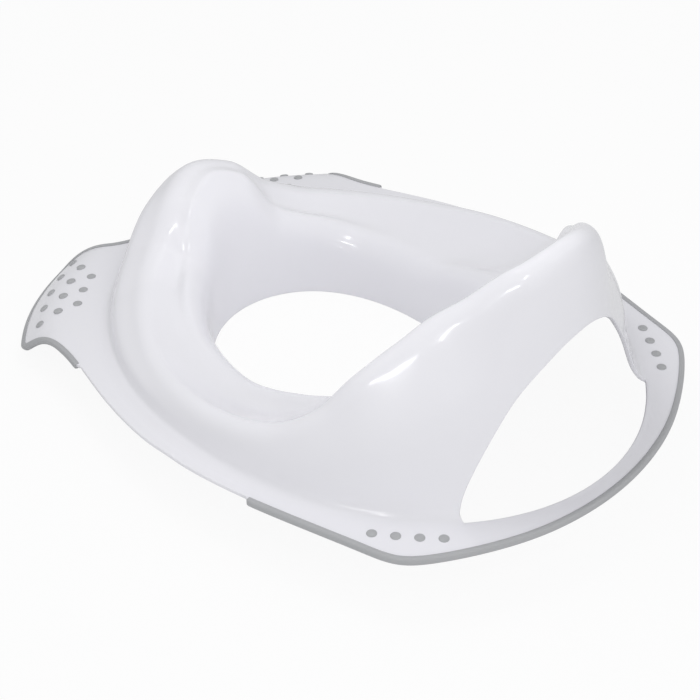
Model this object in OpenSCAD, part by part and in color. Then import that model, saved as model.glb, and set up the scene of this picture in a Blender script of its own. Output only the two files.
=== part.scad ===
// Potty training seat: one moulded hollow shell with a splash guard, a back rest with a carrying handle
// and a bowl skirt, edged with two soft grip rims and set with soft grip studs.
// Millimetres. X runs across the seat, +Y towards the back rest, Z up from the skirt's lower edge.

/* [Overall] */
// Width over the flange at its widest
seat_width = 300; // [280:1:320]
// Depth of the bowl skirt below the flange
skirt_depth = 35.7; // [33:0.1:42]
// Wall thickness of the shell
wall = 2.5; // [2:0.1:3]

/* [Heights above the flange] */
// Top of the splash guard
guard_height = 56.3; // [50:0.1:62]
// Lowest part of the thigh rests
thigh_rest_height = 14.3; // [13:0.1:16]
// Top of the back rest
back_rest_height = 136.4; // [130:0.1:150]
// Top of the handle opening at the middle
handle_opening_height = 90; // [80:0.1:96]

/* [Flange] */
// Fall of the flange for each millimetre forward of the zero line
flange_fall = 0.052; // [0.04:0.001:0.06]
// Curvature of the lip that turns down at the front
lip_curve = 0.0263; // [0.02:0.0001:0.03]

/* [Grip rims] */
// Reach of the rims beyond the flange outline
rim_reach = 3.1; // [2.8:0.1:3.6]
// Reach of the shell's edge inside the rims
rim_tongue = 1.6; // [1.3:0.1:1.8]
// Thickness of the rims over and under the shell's edge
rim_lip = 0.9; // [0.6:0.1:1.3]

/* [Grip studs] */
// Diameter of a stud
stud_diameter = 5.7; // [5:0.1:6.4]
// Height of a stud's dome over the shell
stud_height = 0.9; // [0.6:0.1:1.2]

/* [Hidden] */
shell_white = [0.93, 0.93, 0.94];
grip_grey = [0.62, 0.63, 0.65];

// Plan sizes are in units of the drawing, in which the flange is 336 wide.
unit = seat_width / 336;
// Curves by station angle, 0 at the front and 180 at the back: first the angle, then the value.
guard_rise = [[0, 1], [12, 0.83], [24, 0.3], [36, 0.064], [60, 0], [180, 0]];
back_rise = [[0, 0], [60, 0], [80, 0.045], [98, 0.122], [110, 0.26], [120, 0.44], [135, 0.6], [150, 0.745],
             [165, 0.925], [180, 1]];
crest_inset = [[0, 35], [15, 38], [30, 33], [45, 29], [60, 24], [75, 20], [90, 18.5], [104, 22], [118, 35],
               [132, 50], [145, 58], [155, 54], [168, 45.5], [180, 42]];
bowl_lip_inset = [[0, 14], [15, 11], [30, 8], [60, 8.5], [85, 10], [98, 15], [112, 20], [130, 22], [180, 24]];
bowl_lip_height = [[0, 2], [24, 2.9], [34, 8.5], [60, 2], [85, -2], [98, 5.5], [110, 14], [125, 20], [180, 12]];
dish_height = [[0, 17], [12, 16], [24, 10], [36, 10], [60, 6.5], [85, 4.5], [98, 9], [110, 18.5], [122, 31],
               [145, 36], [180, 34]];
wall_lean = [[0, 1], [100, 1], [120, 1.05], [138, 1.25], [154, 1.25], [168, 1.05], [180, 0.95]];
shoulder_drop = [[0, 0.09], [60, 0.2], [95, 0.19], [130, 0.085], [150, 0.072], [166, 0.09], [180, 0.13]];
// Flange outline, half of it: station angle and the control point of a smooth curve.
outline = [[0, 0, -196.5], [8.5, 17.5, -196], [15, 39, -205], [20, 54.5, -221.5], [22.5, 63.5, -236], [24.5, 80, -228],
           [28, 101, -217], [32, 123, -199.5], [35.5, 140, -181], [38, 147, -172], [40.5, 140.5, -161.5],
           [43.5, 138.5, -143], [48, 143, -118], [56, 156, -80], [68, 166.5, -35], [82, 169.5, 8],
           [97, 162.5, 58], [113, 152.5, 100], [126, 142, 141], [132, 137.5, 163], [137, 122, 176],
           [145, 98, 191], [156, 67, 206], [168, 34, 214.5], [180, 0, 217.5]];
// Places along the outline where sections are cut, in spans of the outline and closer at its corners:
// the two ends of the grip rims and the end of the handle opening are among them.
front_rim_end = 12.1;
rear_rim_end = 16.2;
opening_end = 20.2;
stations = [0, 1, 1.8, 2.5, 3, 3.4, 3.7, 4, 4.3, 4.7, 5.3, 6.1, 7, 7.7, 8.2, 8.6, 9, 9.4, 9.9, 10.5, 11.2, 12,
            front_rim_end, 12.2, 12.7, 13.3, 13.9, 14.5, 15.1, 15.6, 16.1, rear_rim_end, 16.3, 16.8, 17.3, 17.8,
            18.2, 18.6, 19, 19.4, 19.8, 20.1, opening_end, 20.32, 20.5, 20.8, 21.2, 21.7, 22.25, 22.8, 23.4, 24];
// Places across a section, in rows of its control points: bowl edge to crest, and crest to wall foot as parts.
inner_rows = [0, 1.2, 2, 2.7, 3.3, 3.9, 4.5, 5.2, 6, 6.8, 7.6, 8.4, 9.1, 9.7, 10.3, 10.9];
outer_parts = [0.1, 0.2, 0.31, 0.44, 0.58, 0.73, 0.87, 1];
flange_parts = [0.42, 0.62, 0.82];
crest_row = 10.9;
foot_row = 16.8;
fold_row = 18;
// Stud places in drawing units: distance from the lip's centre and angle, then places at the back corner.
lip_centre = -50;
lip_start = 166;
front_studs = [[180.4, 22], [180.4, 28.1], [180.4, 34.3], [180.4, 40.4], [180.4, 46.5],
               [168.1, 25.2], [168.1, 31.3], [168.1, 37.5], [168.1, 43.8],
               [155.9, 28.5], [155.9, 34.7], [155.9, 40.9]];
rear_studs = [[132.4, 138.7], [124.5, 150.2], [116, 161.2], [107, 171.8]];

// Smooth curve through a table's values, level at both ends.
function rise_at(table, i) = i == 0 || i == len(table) - 1 ? 0 :
    let (before = (table[i][1] - table[i - 1][1]) / (table[i][0] - table[i - 1][0]),
         after = (table[i + 1][1] - table[i][1]) / (table[i + 1][0] - table[i][0]))
    before * after <= 0 ? 0 : 2 * before * after / (before + after);
function read(table, t) =
    let (i = max([for (k = [0 : len(table) - 2]) if (k == 0 || t >= table[k][0]) k]),
         span = table[i + 1][0] - table[i][0],
         u = (t - table[i][0]) / span)
    table[i][1] * (1 + 2 * u) * pow(1 - u, 2) + table[i + 1][1] * u * u * (3 - 2 * u)
    + span * (rise_at(table, i) * u * pow(1 - u, 2) - rise_at(table, i + 1) * u * u * (1 - u));
// A front, a side and a back value blended round the seat.
function blend(t, front, side, back) =
    side + (front - side) * (1 + cos(180 * min(t / 60, 1))) / 2
    + (back - side) * (1 + cos(180 * min((180 - t) / 85, 1))) / 2;

// Flange outline: the four control values about a place, and the curve's own angle and point.
function weights(f) = [pow(1 - f, 3), 3 * pow(f, 3) - 6 * f * f + 4, -3 * pow(f, 3) + 3 * f * f + 3 * f + 1,
                       pow(f, 3)] / 6;
function along(k, p) =
    let (n = len(outline) - 1,
         i = min(floor(p), n - 1),
         first = i > 0 ? outline[i - 1][k] : k == 2 ? outline[1][2] : -outline[1][k],
         last = i < n - 1 ? outline[i + 2][k]
              : k == 0 ? 360 - outline[n - 1][0] : k == 1 ? -outline[n - 1][1] : outline[n - 1][2])
    weights(p - i) * [first, outline[i][k], outline[i + 1][k], last];
function outline_at(p) = unit * [along(1, p), along(2, p)];
function outward_at(p) =
    let (d = outline_at(min(p + 0.02, len(outline) - 1)) - outline_at(max(p - 0.02, 0)))
    [d.y, -d.x] / norm(d);
function has_rim(p) = p <= front_rim_end || p >= rear_rim_end;

// Plan of the bowl edge and of the wall foot, by station angle.
function bowl_at(t) = unit * [75.5 * sin(t) + 1.5 * sin(3 * t), -13.5 - 97 * cos(t)];
function foot_at(t) = let (a = t + 10 * sin(t)) unit * [157.6 * sin(a), 8.3 - 198 * cos(a)];
// Height of the flange, level at the back and turned down over the front lip.
function lip_reach(q) = q.y < unit * lip_centre ? max(0, norm([q.x, q.y - unit * lip_centre]) - unit * lip_start) : 0;
function flange_z(q) = -flange_fall * max(0, -q.y) - lip_curve * pow(lip_reach(q), 2);

// Control points of one section, from the bowl's lower edge over the crest to the wall foot.
function section(t) =
    let (h = bowl_at(t), b = foot_at(t), d = (b - h) / norm(b - h), across = norm(b - h) / unit,
         zf = flange_z(b),
         lift = read(guard_rise, t) * (guard_height - thigh_rest_height),
         crest = thigh_rest_height + lift + read(back_rise, t) * (back_rest_height - thigh_rest_height),
         run = crest - zf,
         lip = unit * read(bowl_lip_height, t) + lift,
         dish = unit * read(dish_height, t) + lift,
         inset = read(crest_inset, t),
         lip_in = read(bowl_lip_inset, t),
         lean = read(wall_lean, t),
         low = 8.7 - skirt_depth,
         start = lip_in + 8,
         end = across - inset - blend(t, 9, 7.5, 9),
         rows = [[0, -skirt_depth - 6], [0.3, -skirt_depth], [0.6, 6 - skirt_depth],
                 [0.18 * lip_in, low + (lip - low) * 0.22],
                 [lip_in - 5, lip - blend(t, 12, 7, 8)],
                 [lip_in + 0.5, lip + 0.5],
                 [start, lip + blend(t, 8, 6, 7)],
                 [start + (end - start) * 0.25, dish + (crest - dish) * blend(t, 0, 0.05, 0.12)],
                 [start + (end - start) * 0.52, dish + (crest - dish) * blend(t, 0.3, 0.22, 0.42)],
                 [start + (end - start) * 0.78, dish + (crest - dish) * blend(t, 0.6, 0.58, 0.76)],
                 [end, crest - (crest - dish) * blend(t, 0, 0.1, 0.09)],
                 [across - inset - blend(t, 4, 4, 4), crest + 1],
                 [across - inset + blend(t, 4, 3, 8.5), crest + blend(t, 0.5, 0.2, 0.5)],
                 [across - inset + blend(t, 12, 7.5, 16), crest - run * read(shoulder_drop, t)],
                 [across - lean * blend(t, 16, 9.8, 25), zf + run * blend(t, 0.82, 0.57, 0.7)],
                 [across - lean * blend(t, 10, 8.5, 18.5), zf + run * blend(t, 0.6, 0.36, 0.46)],
                 [across - lean * blend(t, 8, 7.3, 12.5), zf + run * blend(t, 0.36, 0.2, 0.22)],
                 [across - lean * blend(t, 6.5, 6, 7), zf + run * blend(t, 0.15, 0.1, 0.075)],
                 [across - 3.5, zf + 1.2], [across + 0.5, zf + 0.2], [across + 4, zf]])
    [for (r = rows) [h.x + d.x * r[0] * unit, h.y + d.y * r[0] * unit, r[1]]];
function on_section(c, v) =
    let (i = min(floor(v), len(c) - 4))
    weights(v - i) * [c[i], c[i + 1], c[i + 2], c[i + 3]];

// Handle opening: an arch cut in the outer wall, down to the flange.
arch_foot = foot_at(along(0, opening_end)).x;
function arch_z(x) = handle_opening_height * (1 - pow(min(abs(x) / arch_foot, 1), 1.8));
function arch_row(c, low = crest_row, high = 17.5, step = 0) =
    let (mid = (low + high) / 2, q = on_section(c, mid))
    step == 14 ? mid : q.z > arch_z(q.x) ? arch_row(c, mid, high, step + 1) : arch_row(c, low, mid, step + 1);

// Upper skin of half the seat, a list of points for each station.
function skin_row(p) =
    let (t = along(0, p),
         c = section(t),
         last = p < opening_end ? foot_row : min(arch_row(c), foot_row),
         fold = on_section(c, fold_row),
         out = outward_at(p),
         reach = has_rim(p) ? rim_tongue : 0,
         edge = outline_at(p) + out * reach,
         line = edge - out * 1.8,
         flat = [for (q = [for (f = flange_parts) [fold.x, fold.y] * (1 - f) + line * f]) q])
    [for (v = inner_rows) on_section(c, v),
     for (s = outer_parts) on_section(c, crest_row + (last - crest_row) * s),
     fold,
     for (q = concat(flat, [line, edge])) [q.x, q.y, flange_z(q)]];
half_skin = [for (p = stations) skin_row(p)];
half = len(stations);
around = 2 * half - 2;
rows = len(half_skin[0]);
arch_line = len(inner_rows) + len(outer_parts) - 1;

// The whole upper skin, moved so that it stands on the ground with its bounding box about the origin.
function mirrored(q) = [-q.x, q.y, q.z];
function beyond(a, b) = b + (b - a) / norm(b - a) * (rim_reach - rim_tongue);
reaches = [for (s = half_skin) beyond(s[rows - 2], s[rows - 1]).y];
place = [0, -(max(reaches) + min(reaches)) / 2, skirt_depth];
upper = [for (i = [0 : around - 1]) [for (q = half_skin[i < half ? i : around - i]) (i < half ? q : mirrored(q)) + place]];
function spot(i) = (i + around) % around;
opening_first = search(opening_end, stations)[0];
opening_last = around - opening_first;
function in_opening(i) = i >= opening_first && i <= opening_last;
function facing(i, j) =
    let (a = upper[spot(i + 1)][j] - upper[spot(i - 1)][j],
         back = j == 0 || (j == arch_line + 1 && in_opening(i)) ? j : j - 1,
         on = j == rows - 1 || (j == arch_line && in_opening(i)) ? j : j + 1,
         n = cross(upper[i][on] - upper[i][back], a))
    n / norm(n);
lower = [for (i = [0 : around - 1]) [for (j = [0 : rows - 1])
    j == 0 ? let (n = facing(i, 1)) upper[i][0] - wall * [n.x, n.y, 0] / norm([n.x, n.y])
           : upper[i][j] - wall * facing(i, j)]];

module shell_body() {
    count = around * rows;
    near = half - 1;
    skins = [for (i = [0 : around - 1]) for (j = [0 : rows - 2])
        if (!(j == arch_line && i >= opening_first && i < opening_last))
            let (a = i * rows + j, b = spot(i + 1) * rows + j, c = b + 1, d = a + 1)
            each i < near ? [[a, b, c], [a, c, d], [a + count, c + count, b + count], [a + count, d + count, c + count]]
                          : [[a, b, d], [b, c, d], [a + count, d + count, b + count], [b + count, d + count, c + count]]];
    function outer_strip(i, j) = let (a = i * rows + j, b = spot(i + 1) * rows + j)
        [[a, b, b + count], [a, b + count, a + count]];
    function inner_strip(i, j) = let (a = i * rows + j, b = spot(i + 1) * rows + j)
        [[b, a, a + count], [b, a + count, b + count]];
    first = opening_first * rows + arch_line;
    last = opening_last * rows + arch_line;
    edges = [for (i = [0 : around - 1]) each concat(inner_strip(i, 0), outer_strip(i, rows - 1)),
             for (i = [opening_first : opening_last - 1])
                 each concat(outer_strip(i, arch_line), inner_strip(i, arch_line + 1)),
             [first + 1, first, first + count], [first + 1, first + count, first + 1 + count],
             [last, last + 1, last + 1 + count], [last, last + 1 + count, last + count]];
    color(shell_white)
        polyhedron(points = concat([for (s = upper) each s], [for (s = lower) each s]), faces = concat(skins, edges),
                   convexity = 8);
}

// A grip rim: a soft section that wraps the shell's edge from one station to another.
module rim(from, to) {
    count = to - from + 1;
    ring = 10;
    function wrap(i) =
        let (s = spot(i), a = upper[s][rows - 2], b = upper[s][rows - 1], c = lower[s][rows - 1],
             d = lower[s][rows - 2],
             full = i == from || i == to ? 0.45 : 1,
             u = (beyond(a, b) - b) * full,
             w = (b - c) / norm(b - c) * rim_lip * full)
        [a, b, c, d, d - 0.8 * w, c + 0.4 * u - w, c + u + 0.1 * w, b + u - 0.1 * w, b + 0.4 * u + w, a + 0.8 * w];
    near = half - 1;
    function leans(i, k) = k == 0 ? spot(i) < near : k == 2 ? spot(i) >= near : true;
    sides = [for (i = [0 : count - 2]) for (k = [0 : ring - 1])
        let (m = (k + 1) % ring, a = i * ring + k, b = a + ring, c = (i + 1) * ring + m, d = i * ring + m)
        each leans(from + i, k) ? [[a, c, b], [a, d, c]] : [[a, d, b], [b, d, c]]];
    end = (count - 1) * ring;
    cap = [[0, 1, 8], [0, 8, 9], [1, 7, 8], [1, 2, 6], [1, 6, 7], [2, 5, 6], [2, 3, 4], [2, 4, 5]];
    color(grip_grey)
        polyhedron(points = [for (i = [from : to]) each wrap(i)],
                   faces = concat(sides, [for (t = cap) [t[0], t[2], t[1]]],
                                  [for (t = cap) [end + t[0], end + t[1], end + t[2]]]), convexity = 8);
}

// A stud fills its hole through the wall and ends in a low dome, square to the wall about it.
function ground(q) = [q.x, q.y, flange_z(q)] + place;
function square_to(q) =
    let (e = 0.5, n = cross(ground(q + [e, 0]) - ground(q - [e, 0]), ground(q + [0, e]) - ground(q - [0, e])))
    n / norm(n);
module at_stud(q) {
    n = square_to(q);
    translate(ground(q)) rotate([0, acos(n.z), atan2(n.y, n.x)]) children();
}
front_places = [for (s = front_studs) unit * [s[0] * sin(s[1]), lip_centre - s[0] * cos(s[1])]];
rear_places = [for (s = rear_studs) unit * s];
module stud_hole() translate([0, 0, -wall - 3]) cylinder(d = stud_diameter, h = wall + 6, $fn = 48);
module stud() {
    r = stud_diameter / 2;
    dome = stud_height - 0.2;
    ball = (r * r + dome * dome) / (2 * dome);
    intersection() {
        translate([0, 0, -wall - 0.4]) cylinder(r = r, h = wall + 0.4 + stud_height, $fn = 48);
        translate([0, 0, stud_height - ball]) sphere(r = ball, $fn = 96);
    }
}
module studs(places, side) {
    color(grip_grey) for (q = places) at_stud([side * q.x, q.y]) stud();
}

module seat_shell() {
    difference() {
        shell_body();
        for (side = [-1, 1]) for (q = concat(front_places, rear_places)) at_stud([side * q.x, q.y]) stud_hole();
    }
}
module rear_grip_rim() rim(search(rear_rim_end, stations)[0], around - search(rear_rim_end, stations)[0]);
module front_grip_rim() rim(-search(front_rim_end, stations)[0], search(front_rim_end, stations)[0]);
module left_front_grip_studs() studs(front_places, 1);
module right_front_grip_studs() studs(front_places, -1);
module left_rear_grip_studs() studs(rear_places, 1);
module right_rear_grip_studs() studs(rear_places, -1);

seat_shell();
rear_grip_rim();
front_grip_rim();
left_front_grip_studs();
right_front_grip_studs();
left_rear_grip_studs();
right_rear_grip_studs();
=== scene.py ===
"""Potty training seat: the moulded shell, its soft grip rims and studs, their finishes and a plain studio.

The seat stands on its bowl skirt. +X is the seated child's left, +Y is towards the back rest and +Z is up.
Objects are in metres. The form is worked out in millimetres, from a drawing whose unit is a 336th of
the flange's width.
"""

import logging
import math
from dataclasses import dataclass
from enum import Enum
from typing import Callable

import bmesh
import bpy
import numpy as np
from mathutils import Matrix, Vector


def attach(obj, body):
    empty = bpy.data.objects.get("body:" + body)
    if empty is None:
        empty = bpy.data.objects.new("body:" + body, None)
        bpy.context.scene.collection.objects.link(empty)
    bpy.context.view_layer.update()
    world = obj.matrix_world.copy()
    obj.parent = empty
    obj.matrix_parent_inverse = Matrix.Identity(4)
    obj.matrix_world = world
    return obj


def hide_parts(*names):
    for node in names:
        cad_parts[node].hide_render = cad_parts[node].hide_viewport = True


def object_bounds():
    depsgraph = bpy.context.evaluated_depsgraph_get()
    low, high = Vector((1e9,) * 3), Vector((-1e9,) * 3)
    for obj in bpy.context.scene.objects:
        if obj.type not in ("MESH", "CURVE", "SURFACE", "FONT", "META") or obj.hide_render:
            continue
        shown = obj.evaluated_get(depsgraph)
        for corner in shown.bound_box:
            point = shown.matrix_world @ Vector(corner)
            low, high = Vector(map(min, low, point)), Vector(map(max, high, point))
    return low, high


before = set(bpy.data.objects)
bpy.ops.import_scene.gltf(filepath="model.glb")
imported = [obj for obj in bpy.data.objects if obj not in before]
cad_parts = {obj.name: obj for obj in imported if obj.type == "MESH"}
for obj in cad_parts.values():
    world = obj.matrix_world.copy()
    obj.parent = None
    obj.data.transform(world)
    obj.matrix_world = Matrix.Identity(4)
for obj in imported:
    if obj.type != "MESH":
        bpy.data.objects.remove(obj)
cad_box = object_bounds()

log = logging.getLogger("potty_seat")

Table = tuple[tuple[float, float], ...]

# Points that lie nearer than this, in metres, are merged
WELD = 1e-6
# Degrees round the seat over which a section's front and back values fade into its side value
FRONT_FADE = 60
BACK_FADE = 85


class Side(Enum):
    """The two sides of the seat, as the seated child has them."""

    LEFT = 1.0
    RIGHT = -1.0


def cubic_weights(fraction: float) -> np.ndarray:
    """Weights of the four control points of a uniform cubic curve at a fraction of a span."""
    f = fraction
    return np.array([(1 - f) ** 3, 3 * f**3 - 6 * f * f + 4, -3 * f**3 + 3 * f * f + 3 * f + 1, f**3]) / 6


def read_table(table: Table, t: float) -> float:
    """Reads a smooth curve that runs through a table's values and is level at both ends.

    Args:
        table: Pairs of station angle and value.
        t: The station angle in degrees, from 0 at the front to 180 at the back.

    Returns:
        The value at that angle.
    """
    last = len(table) - 1
    i = max(k for k in range(last) if k == 0 or t >= table[k][0])

    def slope(k: int) -> float:
        """Finds the curve's slope at a key.

        Args:
            k: The key's index.

        Returns:
            The slope, zero at both ends and where the values turn.
        """
        if k in (0, last):
            return 0.0
        before = (table[k][1] - table[k - 1][1]) / (table[k][0] - table[k - 1][0])
        after = (table[k + 1][1] - table[k][1]) / (table[k + 1][0] - table[k][0])
        return 0.0 if before * after <= 0 else 2 * before * after / (before + after)

    span = table[i + 1][0] - table[i][0]
    u = (t - table[i][0]) / span
    return (
        table[i][1] * (1 + 2 * u) * (1 - u) ** 2
        + table[i + 1][1] * u * u * (3 - 2 * u)
        + span * (slope(i) * u * (1 - u) ** 2 - slope(i + 1) * u * u * (1 - u))
    )


def blend(t: float, front: float, side: float, back: float) -> float:
    """Blends a front, a side and a back value round the seat.

    Args:
        t: The station angle in degrees.
        front: The value at the front.
        side: The value along the sides.
        back: The value at the back.

    Returns:
        The blended value.
    """
    to_front = (1 + math.cos(math.pi * min(t / FRONT_FADE, 1))) / 2
    to_back = (1 + math.cos(math.pi * min((180 - t) / BACK_FADE, 1))) / 2
    return side + (front - side) * to_front + (back - side) * to_back


@dataclass(frozen=True)
class SeatForm:
    """The seat's free-form surface: its flange outline and its sections round the bowl.

    Heights and the values of the shell, opening and rims are in millimetres. The plans of the bowl and the
    wall's foot, the lip's centre and start, the tables and the outline are in drawing units. Ends are places
    along half the outline, and rows count along a section's control points.
    """

    width: float = 300.0
    drawing_width: float = 336.0
    skirt_depth: float = 35.7
    wall: float = 2.5
    guard_height: float = 56.3
    thigh_rest_height: float = 14.3
    back_rest_height: float = 136.4
    opening_height: float = 90.0
    opening_curve: float = 1.8
    bowl_half_width: float = 75.5
    bowl_half_length: float = 97.0
    bowl_centre: float = -13.5
    bowl_squareness: float = 1.5
    foot_half_width: float = 157.6
    foot_half_length: float = 198.0
    foot_centre: float = 8.3
    foot_turn: float = 10.0
    flange_fall: float = 0.052
    lip_curve: float = 0.0263
    lip_centre: float = -50.0
    lip_start: float = 166.0
    rim_reach: float = 3.1
    rim_tongue: float = 1.6
    rim_lip: float = 0.9
    rim_lap: float = 1.8
    front_rim_end: float = 12.1
    rear_rim_end: float = 16.2
    opening_end: float = 20.2
    crest_row: float = 10.9
    foot_row: float = 16.8
    arch_end_row: float = 17.5
    arch_halvings: int = 14
    forward_shift: float = 6.734
    guard_rise: Table = ((0, 1), (12, 0.83), (24, 0.3), (36, 0.064), (60, 0), (180, 0))
    back_rise: Table = (
        (0, 0), (60, 0), (80, 0.045), (98, 0.122), (110, 0.26), (120, 0.44), (135, 0.6), (150, 0.745),
        (165, 0.925), (180, 1),
    )  # fmt: skip
    crest_inset: Table = (
        (0, 35), (15, 38), (30, 33), (45, 29), (60, 24), (75, 20), (90, 18.5), (104, 22), (118, 35),
        (132, 50), (145, 58), (155, 54), (168, 45.5), (180, 42),
    )  # fmt: skip
    bowl_lip_inset: Table = (
        (0, 14), (15, 11), (30, 8), (60, 8.5), (85, 10), (98, 15), (112, 20), (130, 22), (180, 24),
    )  # fmt: skip
    bowl_lip_height: Table = (
        (0, 2), (24, 2.9), (34, 8.5), (60, 2), (85, -2), (98, 5.5), (110, 14), (125, 20), (180, 12),
    )  # fmt: skip
    dish_height: Table = (
        (0, 17), (12, 16), (24, 10), (36, 10), (60, 6.5), (85, 4.5), (98, 9), (110, 18.5), (122, 31),
        (145, 36), (180, 34),
    )  # fmt: skip
    wall_lean: Table = ((0, 1), (100, 1), (120, 1.05), (138, 1.25), (154, 1.25), (168, 1.05), (180, 0.95))
    shoulder_drop: Table = (
        (0, 0.09), (60, 0.2), (95, 0.19), (130, 0.085), (150, 0.072), (166, 0.09), (180, 0.13),
    )  # fmt: skip
    outline: tuple[tuple[float, float, float], ...] = (
        (0, 0, -196.5), (8.5, 17.5, -196), (15, 39, -205), (20, 54.5, -221.5), (22.5, 63.5, -236),
        (24.5, 80, -228), (28, 101, -217), (32, 123, -199.5), (35.5, 140, -181), (38, 147, -172),
        (40.5, 140.5, -161.5), (43.5, 138.5, -143), (48, 143, -118), (56, 156, -80), (68, 166.5, -35),
        (82, 169.5, 8), (97, 162.5, 58), (113, 152.5, 100), (126, 142, 141), (132, 137.5, 163),
        (137, 122, 176), (145, 98, 191), (156, 67, 206), (168, 34, 214.5), (180, 0, 217.5),
    )  # fmt: skip

    @property
    def unit(self) -> float:
        """Millimetres in one unit of the drawing."""
        return self.width / self.drawing_width

    @property
    def last_place(self) -> int:
        """The last place along half the outline, at the middle of the back."""
        return len(self.outline) - 1

    def along(self, key: int, p: float) -> float:
        """One value of the outline's smooth curve.

        Args:
            key: 0 for the station angle, 1 for X and 2 for Y.
            p: The place along half the outline.

        Returns:
            The value there, in degrees or drawing units.
        """
        n = self.last_place
        i = min(int(p), n - 1)
        points = self.outline
        if i > 0:
            first = points[i - 1][key]
        else:
            first = points[1][2] if key == 2 else -points[1][key]
        if i < n - 1:
            last = points[i + 2][key]
        else:
            last = (360 - points[n - 1][0], -points[n - 1][1], points[n - 1][2])[key]
        return float(cubic_weights(p - i) @ (first, points[i][key], points[i + 1][key], last))

    def outline_at(self, p: float) -> np.ndarray:
        """The flange outline's point at a place, in millimetres."""
        return self.unit * np.array([self.along(1, p), self.along(2, p)])

    def outward_at(self, p: float) -> np.ndarray:
        """The outline's outward direction at a place."""
        step = 0.02
        d = self.outline_at(min(p + step, self.last_place)) - self.outline_at(max(p - step, 0))
        return np.array([d[1], -d[0]]) / math.hypot(d[0], d[1])

    def bowl_at(self, t: float) -> np.ndarray:
        """The bowl's lower edge in plan."""
        a = math.radians(t)
        x = self.bowl_half_width * math.sin(a) + self.bowl_squareness * math.sin(3 * a)
        return self.unit * np.array([x, self.bowl_centre - self.bowl_half_length * math.cos(a)])

    def foot_at(self, t: float) -> np.ndarray:
        """The outer wall's foot in plan."""
        a = math.radians(t + self.foot_turn * math.sin(math.radians(t)))
        x = self.foot_half_width * math.sin(a)
        return self.unit * np.array([x, self.foot_centre - self.foot_half_length * math.cos(a)])

    def flange_z(self, q: np.ndarray) -> float:
        """Finds the flange's height, which falls towards the front and turns down over the front lip.

        Args:
            q: The plan point, in millimetres of the drawing.

        Returns:
            The height over the flange's rear part, in millimetres.
        """
        fall = self.flange_fall * max(0.0, -q[1])
        centre = self.unit * self.lip_centre
        if q[1] >= centre:
            return -fall
        reach = max(0.0, math.hypot(q[0], q[1] - centre) - self.unit * self.lip_start)
        return -fall - self.lip_curve * reach**2

    def section(self, t: float) -> np.ndarray:
        """Control points of one section, from the bowl's lower edge over the crest to the wall's foot.

        Args:
            t: The station angle in degrees.

        Returns:
            21 control points in millimetres.
        """
        h, b = self.bowl_at(t), self.foot_at(t)
        span = math.hypot(*(b - h))
        d, across = (b - h) / span, span / self.unit
        zf = self.flange_z(b)
        lift = read_table(self.guard_rise, t) * (self.guard_height - self.thigh_rest_height)
        back = read_table(self.back_rise, t) * (self.back_rest_height - self.thigh_rest_height)
        crest = self.thigh_rest_height + lift + back
        run = crest - zf
        lip = self.unit * read_table(self.bowl_lip_height, t) + lift
        dish = self.unit * read_table(self.dish_height, t) + lift
        inset = read_table(self.crest_inset, t)
        lip_in = read_table(self.bowl_lip_inset, t)
        lean = read_table(self.wall_lean, t)
        shoulder = read_table(self.shoulder_drop, t)
        low = 8.7 - self.skirt_depth
        start = lip_in + 8
        end = across - inset - blend(t, 9, 7.5, 9)
        # Distance outward and height: the skirt, the bowl's lip, the dish, the crest, the wall and its foot
        rows = (
            (0, -self.skirt_depth - 6), (0.3, -self.skirt_depth), (0.6, 6 - self.skirt_depth),
            (0.18 * lip_in, low + (lip - low) * 0.22),
            (lip_in - 5, lip - blend(t, 12, 7, 8)),
            (lip_in + 0.5, lip + 0.5),
            (start, lip + blend(t, 8, 6, 7)),
            (start + (end - start) * 0.25, dish + (crest - dish) * blend(t, 0, 0.05, 0.12)),
            (start + (end - start) * 0.52, dish + (crest - dish) * blend(t, 0.3, 0.22, 0.42)),
            (start + (end - start) * 0.78, dish + (crest - dish) * blend(t, 0.6, 0.58, 0.76)),
            (end, crest - (crest - dish) * blend(t, 0, 0.1, 0.09)),
            (across - inset - 4, crest + 1),
            (across - inset + blend(t, 4, 3, 8.5), crest + blend(t, 0.5, 0.2, 0.5)),
            (across - inset + blend(t, 12, 7.5, 16), crest - run * shoulder),
            (across - lean * blend(t, 16, 9.8, 25), zf + run * blend(t, 0.82, 0.57, 0.7)),
            (across - lean * blend(t, 10, 8.5, 18.5), zf + run * blend(t, 0.6, 0.36, 0.46)),
            (across - lean * blend(t, 8, 7.3, 12.5), zf + run * blend(t, 0.36, 0.2, 0.22)),
            (across - lean * blend(t, 6.5, 6, 7), zf + run * blend(t, 0.15, 0.1, 0.075)),
            (across - 3.5, zf + 1.2), (across + 0.5, zf + 0.2), (across + 4, zf),
        )  # fmt: skip
        return np.array([[*(h + d * r * self.unit), z] for r, z in rows])

    @staticmethod
    def on_section(control: np.ndarray, v: float) -> np.ndarray:
        """The point of a section at a row, as a smooth curve over its control points."""
        i = min(int(v), len(control) - 4)
        return cubic_weights(v - i) @ control[i : i + 4]

    def arch_row(self, control: np.ndarray) -> float:
        """Finds the row at which a section meets the handle opening's arch, by halving.

        Args:
            control: The section's control points.

        Returns:
            The row, between the crest and the wall's foot.
        """
        foot = self.foot_at(self.along(0, self.opening_end))[0]
        low, high = self.crest_row, self.arch_end_row
        for _ in range(self.arch_halvings):
            mid = (low + high) / 2
            q = self.on_section(control, mid)
            arch = self.opening_height * (1 - min(abs(q[0]) / foot, 1) ** self.opening_curve)
            low, high = (mid, high) if q[2] > arch else (low, mid)
        return (low + high) / 2

    def has_rim(self, p: float) -> bool:
        """True where a grip rim wraps the shell's edge."""
        return p <= self.front_rim_end or p >= self.rear_rim_end

    def edge_at(self, p: float) -> np.ndarray:
        """The shell's edge in plan, which reaches into a rim where there is one."""
        reach = self.rim_tongue if self.has_rim(p) else 0.0
        return self.outline_at(p) + self.outward_at(p) * reach

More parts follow.
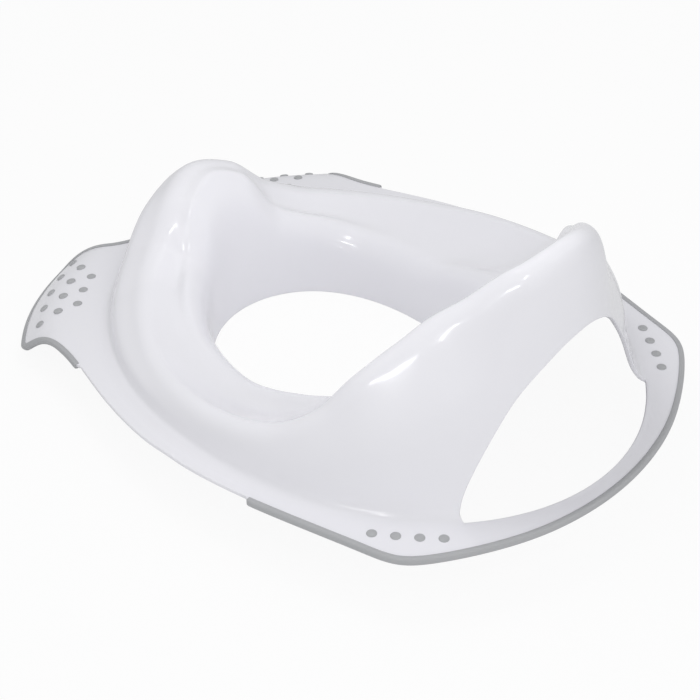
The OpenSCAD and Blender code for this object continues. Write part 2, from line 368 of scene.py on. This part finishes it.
    def line_at(self, p: float) -> np.ndarray:
        """The line just inside the shell's edge, where a rim's lip ends."""
        return self.edge_at(p) - self.outward_at(p) * self.rim_lap

    def flange_normal(self, q: np.ndarray) -> np.ndarray:
        """Finds the flange's upward direction.

        Args:
            q: The plan point, in millimetres of the drawing.

        Returns:
            The direction, one unit long.
        """
        e = 0.25
        dx = (self.flange_z(q + (e, 0)) - self.flange_z(q - (e, 0))) / (2 * e)
        dy = (self.flange_z(q + (0, e)) - self.flange_z(q - (0, e))) / (2 * e)
        return np.array([-dx, -dy, 1.0]) / math.sqrt(dx * dx + dy * dy + 1)

    def on_ground(self, q: np.ndarray) -> np.ndarray:
        """The drawing's points, in millimetres, at the seat's place on the ground, in metres."""
        return (np.asarray(q, float) + (0.0, self.forward_shift, self.skirt_depth)) / 1000


@dataclass
class Piece:
    """A part of the seat that becomes one object riding on the root body."""

    form: SeatForm

    def finish_piece(
        self, bm: bmesh.types.BMesh, name: str, node: str, slot: str, material: bpy.types.Material
    ) -> bpy.types.Object:
        """Turns a finished bmesh into an object that stands for its CAD node.

        Args:
            bm: The finished mesh, which is freed.
            name: The object's name.
            node: The CAD node that it stands for.
            slot: The record's material slot; not used.
            material: The finish.

        Returns:
            The new object.
        """
        mesh = bpy.data.meshes.new(name)
        bm.to_mesh(mesh)
        bm.free()
        for face in mesh.polygons:
            face.use_smooth = True
        mesh.materials.append(material)
        obj = bpy.data.objects.new(name, mesh)
        bpy.context.scene.collection.objects.link(obj)
        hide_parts(node)
        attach(obj, "root")
        triangles = sum(len(f.vertices) - 2 for f in mesh.polygons)
        log.info("%s: %d triangles, stands for %s", name, triangles, node)
        return obj

    @staticmethod
    def sheet(across: int, along: int, at: Callable[[int, int], np.ndarray]) -> bmesh.types.BMesh:
        """Makes a grid, marks its points with their indices and draws each one out to its place.

        Args:
            across: Number of cells in the first direction.
            along: Number of cells in the second direction.
            at: The place of a grid point, in metres, from its two indices.

        Returns:
            The drawn-out grid, with its indices in the integer layers "i" and "j".
        """
        bm = bmesh.new()
        mark_i = bm.verts.layers.int.new("i")
        mark_j = bm.verts.layers.int.new("j")
        bmesh.ops.create_grid(bm, x_segments=across, y_segments=along, size=0.5)
        for vert in bm.verts:
            i, j = round((vert.co.x + 0.5) * across), round((vert.co.y + 0.5) * along)
            vert[mark_i], vert[mark_j] = i, j
            vert.co = Vector(at(i, j))
        return bm


@dataclass
class Shell(Piece):
    """The moulded shell: bowl skirt, dish, splash guard, back rest with its handle opening, and flange.

    Roundings and bands are in metres, and the edge's step at a rim's end is in places along the outline.
    """

    inner_rows: int = 44
    outer_rows: int = 26
    fillet_rows: tuple[float, ...] = (17.1, 17.4, 17.7, 18.0)
    flange_rows: int = 6
    edge_step: float = 0.06
    edge_round: float = 0.0011
    foot_round: float = 0.0006
    foot_band: float = 0.001
    level_band: float = 0.0002
    corner_angle: float = 55.0

    def places(self) -> list[float]:
        """Spaces the sections closer at the outline's corners, the rims' ends and the opening's end.

        Returns:
            Places of the sections along half the outline.
        """
        f, step = self.form, self.edge_step
        front, rear, opening = f.front_rim_end, f.rear_rim_end, f.opening_end
        runs = (
            (0.0, 3.0, 14), (3.0, 5.0, 18), (5.0, 8.0, 14), (8.0, 10.2, 18), (10.2, front, 9),
            (front, front + step, 1), (front + step, rear - step, 40), (rear - step, rear, 1),
            (rear, 18.0, 18), (18.0, opening, 24), (opening, 21.4, 18), (21.4, f.last_place, 26),
        )  # fmt: skip
        places = [start + (end - start) * k / n for start, end, n in runs for k in range(n)]
        return [*places, float(f.last_place)]

    def skin_row(self, p: float) -> list[np.ndarray]:
        """The points of one section of the upper skin, from the bowl's edge to the flange's edge.

        Args:
            p: The place along half the outline.

        Returns:
            The row of points, in millimetres of the drawing.
        """
        f = self.form
        control = f.section(f.along(0, p))
        crest = f.crest_row
        last = f.foot_row if p < f.opening_end else min(f.arch_row(control), f.foot_row)
        edge, line = f.edge_at(p), f.line_at(p)
        inner = [f.on_section(control, crest * k / self.inner_rows) for k in range(self.inner_rows + 1)]
        steps = range(1, self.outer_rows + 1)
        outer = [f.on_section(control, crest + (last - crest) * k / self.outer_rows) for k in steps]
        fillet = [f.on_section(control, v) for v in self.fillet_rows]
        fold = fillet[-1][:2]
        steps = range(1, self.flange_rows + 1)
        flange = [fold + (line - fold) * k / self.flange_rows for k in steps]
        return inner + outer + fillet + [np.array([*q, f.flange_z(q)]) for q in [*flange, edge]]

    def skin(self, places: list[float]) -> bmesh.types.BMesh:
        """Draws the upper skin out of a grid, no higher than the solids reach.

        Args:
            places: Places of the sections along half the outline.

        Returns:
            The skin round the whole seat, open along the front until its doubles are merged.
        """
        points = self.form.on_ground(np.array([self.skin_row(p) for p in places]))
        points = np.minimum(points, cad_box[1])
        half, rows = points.shape[:2]
        around = 2 * half - 2
        other_side = np.array([-1.0, 1.0, 1.0])

        def at(i: int, j: int) -> np.ndarray:
            """Point j of section i round the whole seat."""
            i = i % around
            return points[i, j] if i < half else points[around - i, j] * other_side

        return self.sheet(around, rows - 1, at)

    def cut_opening(self, bm: bmesh.types.BMesh, places: list[float]) -> None:
        """Cuts the handle opening out of the skin, from its arch down to the flange's fold.

        Args:
            bm: The skin.
            places: Places of its sections along half the outline.
        """
        mark_i, mark_j = bm.verts.layers.int["i"], bm.verts.layers.int["j"]
        first = places.index(self.form.opening_end)
        last = 2 * len(places) - 2 - first
        arch = self.inner_rows + self.outer_rows
        fold = arch + len(self.fillet_rows)
        cut = [
            face
            for face in bm.faces
            if first <= min(v[mark_i] for v in face.verts) < last
            and arch <= min(v[mark_j] for v in face.verts) < fold
        ]
        bmesh.ops.delete(bm, geom=cut, context="FACES")

    def thicken(self, bm: bmesh.types.BMesh) -> None:
        """Closes the skin round the seat, gives it its wall below and levels the skirt's foot.

        Args:
            bm: The skin, which becomes the whole shell.
        """
        bmesh.ops.remove_doubles(bm, verts=bm.verts, dist=WELD)
        bmesh.ops.recalc_face_normals(bm, faces=bm.faces)
        if sum(face.normal.z * face.calc_area() for face in bm.faces) < 0:
            bmesh.ops.reverse_faces(bm, faces=bm.faces)
        bmesh.ops.solidify(bm, geom=list(bm.faces), thickness=self.form.wall / 1000)
        for vert in bm.verts:
            if vert.co.z < self.level_band:
                vert.co.z = 0.0
        bm.normal_update()

    def round_corners(self, bm: bmesh.types.BMesh, reach: float, low: float, high: float) -> None:
        """Rounds the sharp edges between two heights.

        Args:
            bm: The shell.
            reach: The width of the rounding in metres.
            low: The lowest height in metres.
            high: The height in metres that the edges stay below.
        """
        corners = [
            edge
            for edge in bm.edges
            if len(edge.link_faces) == 2
            and edge.calc_face_angle() > math.radians(self.corner_angle)
            and all(low <= vert.co.z < high for vert in edge.verts)
        ]
        log.info("shell corners rounded by %.1f mm: %d edges", reach * 1000, len(corners))
        bmesh.ops.bevel(
            bm, geom=corners, offset=reach, segments=3, profile=0.5, affect="EDGES", material=-1,
            clamp_overlap=True,
        )  # fmt: skip

    def build(self, material: bpy.types.Material) -> bpy.types.Object:
        """Draws the skin, cuts the handle opening, gives the shell its wall and rounds its edges.

        Args:
            material: The shell's finish.

        Returns:
            The shell's object.
        """
        places = self.places()
        bm = self.skin(places)
        self.cut_opening(bm, places)
        self.thicken(bm)
        self.round_corners(bm, self.foot_round, -math.inf, self.foot_band)
        self.round_corners(bm, self.edge_round, self.foot_band, math.inf)
        return self.finish_piece(bm, "moulded_shell", "seat_shell", "shell_plastic", material)


class RimPlace(Enum):
    """The two grip rims and the CAD nodes that they stand for."""

    REAR = "rear_grip_rim"
    FRONT = "front_grip_rim"


@dataclass
class GripRim(Piece):
    """A soft rim that wraps the shell's edge, with rounded lips and ends.

    The step and the ends' rounding are in places along the outline; the sizes are shares of the full section.
    """

    step: float = 0.08
    end_round: float = 0.07
    end_steps: int = 4
    end_size: float = 0.6
    lip_crown: float = 0.4
    lip_end: float = 0.8
    under_lip: float = 0.5
    corner_cuts: int = 2

    def end_of(self, where: RimPlace) -> float:
        """The place along half the outline at which a rim ends."""
        return self.form.front_rim_end if where is RimPlace.FRONT else self.form.rear_rim_end

    def places(self, where: RimPlace) -> list[float]:
        """Spaces the rim's sections from its right end to its left end, closer within its rounded ends.

        Args:
            where: Which rim.

        Returns:
            Places along half the outline, negative on the mirrored right side.
        """
        end, n = self.end_of(where), self.end_steps
        middle = 0.0 if where is RimPlace.FRONT else float(self.form.last_place)
        way = math.copysign(1.0, middle - end)
        count = round((abs(middle - end) - self.end_round) / self.step)
        turns = [self.end_round * (1 - math.cos(k / n * math.pi / 2)) for k in range(n + 1)]
        runs = [self.end_round + self.step * k for k in range(1, count)]
        half = [end + way * reach for reach in turns + runs]
        return [-p for p in half] + [middle] + half[::-1]

    def fullness(self, p: float, where: RimPlace) -> float:
        """Finds how much of its full section a rim has, which is less within its rounded ends.

        Args:
            p: The place along half the outline.
            where: Which rim.

        Returns:
            The share of the full section.
        """
        u = min(abs(p - self.end_of(where)) / self.end_round, 1.0)
        return self.end_size + (1 - self.end_size) * math.sqrt(1 - (1 - u) ** 2)

    def section(self, p: float, full: float) -> np.ndarray:
        """Draws the rim's closed section at a place on the left side and rounds it by cutting its corners.

        Args:
            p: The place along half the outline.
            full: The share of the full section.

        Returns:
            Points in millimetres of the drawing, the four on the shell's skin first.
        """
        f = self.form
        a, b = (np.array([*q, f.flange_z(q)]) for q in (f.line_at(p), f.edge_at(p)))
        n = f.flange_normal(f.edge_at(p))
        c, d = b - n * f.wall, a - n * f.wall
        u = (b - a) / np.linalg.norm(b - a) * (f.rim_reach - f.rim_tongue) * full
        w = n * f.rim_lip * full
        crown, end = self.lip_crown * u, self.lip_end * w
        more = (self.under_lip if p > f.front_rim_end else 0.0) * w
        outer = [
            d, d - end - 0.6 * more, c + crown - w - more, c + u + 0.1 * w - 1.2 * more,
            b + u - 0.1 * w, b + crown + w, a + end, a,
        ]  # fmt: skip
        for _ in range(self.corner_cuts):
            rounder = [outer[0]]
            for one, two in zip(outer, outer[1:]):
                rounder += [one * 0.75 + two * 0.25, one * 0.25 + two * 0.75]
            outer = rounder + [outer[-1]]
        return np.array([a, b, c] + outer[:-1])

    def build(self, where: RimPlace, material: bpy.types.Material) -> bpy.types.Object:
        """Draws the rim out of a grid within the solids' box, closes it along its length and caps its ends.

        Args:
            where: Which rim.
            material: The rim's finish.

        Returns:
            The rim's object.
        """
        places = self.places(where)
        rings = []
        for p in places:
            ring = self.form.on_ground(self.section(abs(p), self.fullness(abs(p), where)))
            ring = np.clip(ring, cad_box[0], cad_box[1])
            rings.append(ring * (-1, 1, 1) if p < 0 else ring)
        count = len(rings[0])
        bm = self.sheet(len(places) - 1, count, lambda i, j: rings[i][j % count])
        bmesh.ops.remove_doubles(bm, verts=bm.verts, dist=WELD)
        ends = bmesh.ops.holes_fill(bm, edges=[e for e in bm.edges if e.is_boundary], sides=0)
        bmesh.ops.triangulate(bm, faces=ends["faces"], ngon_method="EAR_CLIP")
        bmesh.ops.recalc_face_normals(bm, faces=bm.faces)
        return self.finish_piece(bm, f"soft_{where.value}", where.value, "grip_rubber", material)


class StudGroup(Enum):
    """The groups of grip studs on one side, in drawing units.

    The front ones are given by distance and angle from the lip's centre, the rear ones by X and Y.
    """

    FRONT = (
        (180.4, 22), (180.4, 28.1), (180.4, 34.3), (180.4, 40.4), (180.4, 46.5),
        (168.1, 25.2), (168.1, 31.3), (168.1, 37.5), (168.1, 43.8),
        (155.9, 28.5), (155.9, 34.7), (155.9, 40.9),
    )  # fmt: skip
    REAR = ((132.4, 138.7), (124.5, 150.2), (116, 161.2), (107, 171.8))


@dataclass
class GripStuds(Piece):
    """Soft round studs that fill holes in the flange and stand proud as low domes, sized in millimetres."""

    radius: float = 2.85
    height: float = 0.9
    edge_height: float = 0.3
    dome_curve: float = 2.4
    dome_steps: int = 6
    below_wall: float = 0.4
    bevel: float = 0.2
    steps: int = 32

    def profile(self) -> list[tuple[float, float]]:
        """Draws a stud's outline, from its middle on top to its middle below.

        Returns:
            Radius and height of the outline's points, in millimetres over the flange.
        """
        r, h, n = self.radius, self.height, self.dome_steps
        low = -self.form.wall - self.below_wall
        dome = [(r * k / n, h - (h - self.edge_height) * (k / n) ** self.dome_curve) for k in range(n)]
        edge = [(r * 0.985, 0.24), (r, 0.1)]
        foot = [(r, low + self.bevel), (r - self.bevel, low), (0.0, low)]
        return [*dome, *edge, *foot]

    def places(self, group: StudGroup, side: Side) -> list[np.ndarray]:
        """Finds where a group's studs stand.

        Args:
            group: Which group of studs.
            side: Which side of the seat.

        Returns:
            Plan places in millimetres of the drawing.
        """
        f, spots = self.form, group.value
        if group is StudGroup.FRONT:
            turned = [(d, math.radians(a)) for d, a in spots]
            spots = [(d * math.sin(a), f.lip_centre - d * math.cos(a)) for d, a in turned]
        return [f.unit * np.array([side.value * x, y]) for x, y in spots]

    def build(self, group: StudGroup, side: Side, material: bpy.types.Material) -> bpy.types.Object:
        """Spins a stud at each place, square to the flange.

        Args:
            group: Which group of studs.
            side: Which side of the seat.
            material: The studs' finish.

        Returns:
            The object with all the group's studs.
        """
        bm = bmesh.new()
        for q in self.places(group, side):
            one = bmesh.new()
            outline = [one.verts.new((r / 1000, 0, z / 1000)) for r, z in self.profile()]
            edges = [one.edges.new(pair) for pair in zip(outline, outline[1:])]
            bmesh.ops.spin(
                one, geom=outline + edges, cent=(0, 0, 0), axis=(0, 0, 1), angle=2 * math.pi,
                steps=self.steps, use_merge=True,
            )  # fmt: skip
            bmesh.ops.remove_doubles(one, verts=one.verts, dist=WELD)
            bmesh.ops.recalc_face_normals(one, faces=one.faces)
            foot = self.form.on_ground(np.array([*q, self.form.flange_z(q)]))
            turn = Vector(self.form.flange_normal(q)).to_track_quat("Z", "Y").to_matrix().to_4x4()
            bmesh.ops.transform(one, matrix=Matrix.Translation(foot) @ turn, verts=one.verts)
            loose = bpy.data.meshes.new("stud")
            one.to_mesh(loose)
            one.free()
            bm.from_mesh(loose)
            bpy.data.meshes.remove(loose)
        node = f"{side.name.lower()}_{group.name.lower()}_grip_studs"
        return self.finish_piece(bm, f"soft_{node}", node, "grip_rubber", material)


class SurfaceEffects:
    """Shader node groups that more than one finish uses, built once."""

    def __init__(self) -> None:
        """Builds the groups."""
        self.grain = self.moulded_grain()
        self.handling = self.handling_marks()

    @staticmethod
    def sockets(tree: bpy.types.NodeTree, inputs: dict[str, float], outputs: tuple[str, ...]) -> None:
        """Gives a group its named sockets, with a vector input first.

        Args:
            tree: The node group.
            inputs: Names and default values of the number inputs.
            outputs: Names of the number outputs.
        """
        tree.interface.new_socket(name="Vector", in_out="INPUT", socket_type="NodeSocketVector")
        for name, value in inputs.items():
            socket = tree.interface.new_socket(name=name, in_out="INPUT", socket_type="NodeSocketFloat")
            socket.default_value = value
        for name in outputs:
            tree.interface.new_socket(name=name, in_out="OUTPUT", socket_type="NodeSocketFloat")

    def moulded_grain(self) -> bpy.types.NodeTree:
        """Fine waviness and pits of a moulded surface: a height for a bump.

        Returns:
            The node group.
        """
        tree = bpy.data.node_groups.new("moulded_grain", "ShaderNodeTree")
        self.sockets(tree, {"Wave Scale": 60.0, "Pit Scale": 900.0, "Pit Share": 0.3}, ("Height",))
        entry, leave = tree.nodes.new("NodeGroupInput"), tree.nodes.new("NodeGroupOutput")
        wave, pits = tree.nodes.new("ShaderNodeTexNoise"), tree.nodes.new("ShaderNodeTexNoise")
        mix = tree.nodes.new("ShaderNodeMix")
        wave.inputs["Detail"].default_value = 1.0
        pits.inputs["Detail"].default_value = 2.0
        link = tree.links.new
        link(entry.outputs["Vector"], wave.inputs["Vector"])
        link(entry.outputs["Vector"], pits.inputs["Vector"])
        link(entry.outputs["Wave Scale"], wave.inputs["Scale"])
        link(entry.outputs["Pit Scale"], pits.inputs["Scale"])
        link(entry.outputs["Pit Share"], mix.inputs["Factor"])
        link(wave.outputs["Fac"], mix.inputs["A"])
        link(pits.outputs["Fac"], mix.inputs["B"])
        link(mix.outputs["Result"], leave.inputs["Height"])
        return tree

    def handling_marks(self) -> bpy.types.NodeTree:
        """Soft blotches where hands and cloths have dulled the gloss: a mask from 0 to 1.

        Returns:
            The node group.
        """
        tree = bpy.data.node_groups.new("handling_marks", "ShaderNodeTree")
        self.sockets(tree, {"Scale": 9.0}, ("Mask",))
        entry, leave = tree.nodes.new("NodeGroupInput"), tree.nodes.new("NodeGroupOutput")
        blotch = tree.nodes.new("ShaderNodeTexNoise")
        blotch.inputs["Detail"].default_value = 1.0
        link = tree.links.new
        link(entry.outputs["Vector"], blotch.inputs["Vector"])
        link(entry.outputs["Scale"], blotch.inputs["Scale"])
        link(blotch.outputs["Fac"], leave.inputs["Mask"])
        return tree


@dataclass(frozen=True)
class MouldedFinish:
    """A moulded plastic or rubber finish with a faint colour drift, grain and handling marks."""

    name: str
    clean: tuple[float, float, float]
    dulled: tuple[float, float, float]
    roughness: tuple[float, float]
    wave_scale: float
    pit_scale: float
    pit_share: float
    bump: float
    bump_strength: float = 0.6
    coat: float = 0.0
    coat_roughness: float = 0.1

    def make(self, effects: SurfaceEffects) -> bpy.types.Material:
        """Builds the material.

        Args:
            effects: The shared node groups.

        Returns:
            The material.
        """
        material = bpy.data.materials.new(self.name)
        material.use_nodes = True
        nodes, link = material.node_tree.nodes, material.node_tree.links.new
        shader = nodes["Principled BSDF"]
        where = nodes.new("ShaderNodeTexCoord")
        marks, grain = nodes.new("ShaderNodeGroup"), nodes.new("ShaderNodeGroup")
        marks.node_tree, grain.node_tree = effects.handling, effects.grain
        colour, gloss = nodes.new("ShaderNodeMix"), nodes.new("ShaderNodeMapRange")
        colour.data_type = "RGBA"
        bump = nodes.new("ShaderNodeBump")
        grain.inputs["Wave Scale"].default_value = self.wave_scale
        grain.inputs["Pit Scale"].default_value = self.pit_scale
        grain.inputs["Pit Share"].default_value = self.pit_share
        clean, dulled = (socket for socket in colour.inputs if socket.type == "RGBA")
        clean.default_value = (*self.clean, 1)
        dulled.default_value = (*self.dulled, 1)
        gloss.inputs["To Min"].default_value = self.roughness[0]
        gloss.inputs["To Max"].default_value = self.roughness[1]
        bump.inputs["Strength"].default_value = self.bump_strength
        bump.inputs["Distance"].default_value = self.bump
        shader.inputs["Coat Weight"].default_value = self.coat
        shader.inputs["Coat Roughness"].default_value = self.coat_roughness
        link(where.outputs["Object"], marks.inputs["Vector"])
        link(where.outputs["Object"], grain.inputs["Vector"])
        link(marks.outputs["Mask"], colour.inputs["Factor"])
        link(marks.outputs["Mask"], gloss.inputs["Value"])
        result = next(socket for socket in colour.outputs if socket.type == "RGBA")
        link(result, shader.inputs["Base Color"])
        link(gloss.outputs["Result"], shader.inputs["Roughness"])
        link(grain.outputs["Height"], bump.inputs["Height"])
        link(bump.outputs["Normal"], shader.inputs["Normal"])
        return material


GLOSSY_WHITE = MouldedFinish(
    name="glossy_white_plastic", clean=(0.868, 0.863, 0.9), dulled=(0.862, 0.857, 0.894),
    roughness=(0.14, 0.19), wave_scale=30.0, pit_scale=900.0, pit_share=0.03, bump=0.00006,
    coat=0.4, coat_roughness=0.07,
)  # fmt: skip
SOFT_GREY = MouldedFinish(
    name="soft_grey_rubber", clean=(0.46, 0.465, 0.475), dulled=(0.42, 0.425, 0.435),
    roughness=(0.42, 0.6), wave_scale=120.0, pit_scale=2600.0, pit_share=0.6, bump=0.00012,
)  # fmt: skip


class LampUse(Enum):
    """What a lamp of the studio is for: to light surfaces, or only to be mirrored in them."""

    FILL = "fill"
    GLINT = "glint"


@dataclass(frozen=True)
class Lamp:
    """A soft lamp of the studio, with its place and size in metres and its power in watts."""

    name: str
    place: tuple[float, float, float]
    size: tuple[float, float]
    use: LampUse
    power: float

    def hang(self, target: Vector) -> None:
        """Hangs the lamp so that it faces a point.

        Args:
            target: The point that it faces.
        """
        data = bpy.data.lights.new(self.name, "AREA")
        data.shape = "RECTANGLE"
        data.size, data.size_y = self.size
        data.energy = self.power
        lamp = bpy.data.objects.new(self.name, data)
        bpy.context.scene.collection.objects.link(lamp)
        place = Vector(self.place)
        lamp.location = place
        lamp.rotation_mode = "QUATERNION"
        lamp.rotation_quaternion = (target - place).to_track_quat("-Z", "Y")
        lamp.visible_glossy = self.use is LampUse.GLINT
        lamp.visible_diffuse = self.use is LampUse.FILL
        log.info("%s: %.1f W", self.name, self.power)


LAMPS = (
    Lamp("high_fill", (0.35, 1.0, 1.3), (0.8, 0.8), LampUse.FILL, 2.6),
    Lamp("near_fill", (0.75, 1.1, 0.5), (0.5, 0.5), LampUse.FILL, 1.9),
    Lamp("bowl_fill", (0.06, 0.0, 0.42), (0.16, 0.16), LampUse.FILL, 0.32),
    Lamp("side_glint", (1.3, 0.53, 0.72), (0.4, 0.07), LampUse.GLINT, 1.2),
    Lamp("guard_glint", (1.0, 0.53, 1.13), (0.1, 0.28), LampUse.GLINT, 1.0),
)


@dataclass
class Studio:
    """The pale floor, the even light and the camera that took the photograph.

    Angles are in degrees and lengths in metres; the focal length and the principal point are in pixels.
    """

    azimuth: float = 133.736
    elevation: float = 37.801
    roll: float = -0.323
    distance: float = 0.98371
    focal_pixels: float = 1650.81
    principal: tuple[float, float] = (355.42, 329.59)
    frame_pixels: int = 700
    floor_half: float = 6.0
    floor_gap: float = 0.0002
    floor_glow: float = 0.92
    world_level: float = 0.66

    def camera(self, target: Vector) -> None:
        """Places the camera as the photograph's perspective gives it.

        Args:
            target: The point on the seat that the camera circles.
        """
        a, e = math.radians(self.azimuth), math.radians(self.elevation)
        back = Vector((math.sin(a) * math.cos(e), -math.cos(a) * math.cos(e), math.sin(e)))
        data = bpy.data.cameras.new("photo_camera")
        data.sensor_width = 36.0
        data.lens = self.focal_pixels * data.sensor_width / self.frame_pixels
        data.shift_x = (self.frame_pixels / 2 - self.principal[0]) / self.frame_pixels
        data.shift_y = (self.principal[1] - self.frame_pixels / 2) / self.frame_pixels
        data.clip_start, data.clip_end = 0.01, 100.0
        camera = bpy.data.objects.new("photo_camera", data)
        bpy.context.scene.collection.objects.link(camera)
        level = (-back).to_track_quat("-Z", "Y")
        tilt = Matrix.Rotation(math.radians(self.roll), 3, back).to_quaternion()
        camera.rotation_mode = "QUATERNION"
        camera.rotation_quaternion = tilt @ level
        camera.location = target + back * self.distance
        bpy.context.scene.camera = camera
        log.info("camera at %s", [round(c, 4) for c in camera.location])

    def floor(self) -> None:
        """Lays a pale floor that the camera sees nearly white, with the seat's shadow on it."""
        mesh = bpy.data.meshes.new("floor")
        bm = bmesh.new()
        bmesh.ops.create_grid(bm, x_segments=1, y_segments=1, size=self.floor_half)
        bm.to_mesh(mesh)
        bm.free()
        floor = bpy.data.objects.new("floor", mesh)
        bpy.context.scene.collection.objects.link(floor)
        floor.location.z = -self.floor_gap
        material = bpy.data.materials.new("pale_floor")
        material.use_nodes = True
        nodes, links = material.node_tree.nodes, material.node_tree.links
        paint = nodes["Principled BSDF"]
        paint.inputs["Base Color"].default_value = (0.86, 0.86, 0.865, 1)
        paint.inputs["Roughness"].default_value = 0.7
        glow, mix = nodes.new("ShaderNodeEmission"), nodes.new("ShaderNodeMixShader")
        path, share = nodes.new("ShaderNodeLightPath"), nodes.new("ShaderNodeMath")
        share.operation = "MULTIPLY"
        share.inputs[1].default_value = self.floor_glow
        links.new(path.outputs["Is Camera Ray"], share.inputs[0])
        links.new(share.outputs[0], mix.inputs[0])
        links.new(paint.outputs[0], mix.inputs[1])
        links.new(glow.outputs[0], mix.inputs[2])
        links.new(mix.outputs[0], nodes["Material Output"].inputs["Surface"])
        mesh.materials.append(material)

    def world(self) -> None:
        """Lights the seat evenly from all round, and shows white behind it."""
        world = bpy.data.worlds.new("studio")
        bpy.context.scene.world = world
        world.use_nodes = True
        nodes, links = world.node_tree.nodes, world.node_tree.links
        light = nodes["Background"]
        light.inputs["Color"].default_value = (0.985, 0.99, 1.0, 1)
        light.inputs["Strength"].default_value = self.world_level
        white, mix = nodes.new("ShaderNodeBackground"), nodes.new("ShaderNodeMixShader")
        white.inputs["Color"].default_value = (1, 1, 1, 1)
        white.inputs["Strength"].default_value = 1.0
        path = nodes.new("ShaderNodeLightPath")
        links.new(path.outputs["Is Camera Ray"], mix.inputs[0])
        links.new(light.outputs[0], mix.inputs[1])
        links.new(white.outputs[0], mix.inputs[2])
        links.new(mix.outputs[0], nodes["World Output"].inputs["Surface"])

    def build(self, target: Vector) -> None:
        """Sets up the whole studio round the seat.

        Args:
            target: The point on the seat that the camera circles.
        """
        self.camera(target)
        self.floor()
        self.world()
        for lamp in LAMPS:
            lamp.hang(target)
        bpy.context.scene.view_settings.view_transform = "Standard"


def main() -> None:
    """Builds the seat's pieces in order, then the studio."""
    logging.basicConfig(level=logging.INFO, format="%(name)s: %(message)s")
    form = SeatForm()
    effects = SurfaceEffects()
    white, grey = GLOSSY_WHITE.make(effects), SOFT_GREY.make(effects)
    Shell(form).build(white)
    rims = GripRim(form)
    for where in RimPlace:
        rims.build(where, grey)
    studs = GripStuds(form)
    for group in StudGroup:
        for side in Side:
            studs.build(group, side, grey)
    Studio().build(Vector(form.on_ground(np.zeros(3))))


if __name__ == "__main__":
    main()
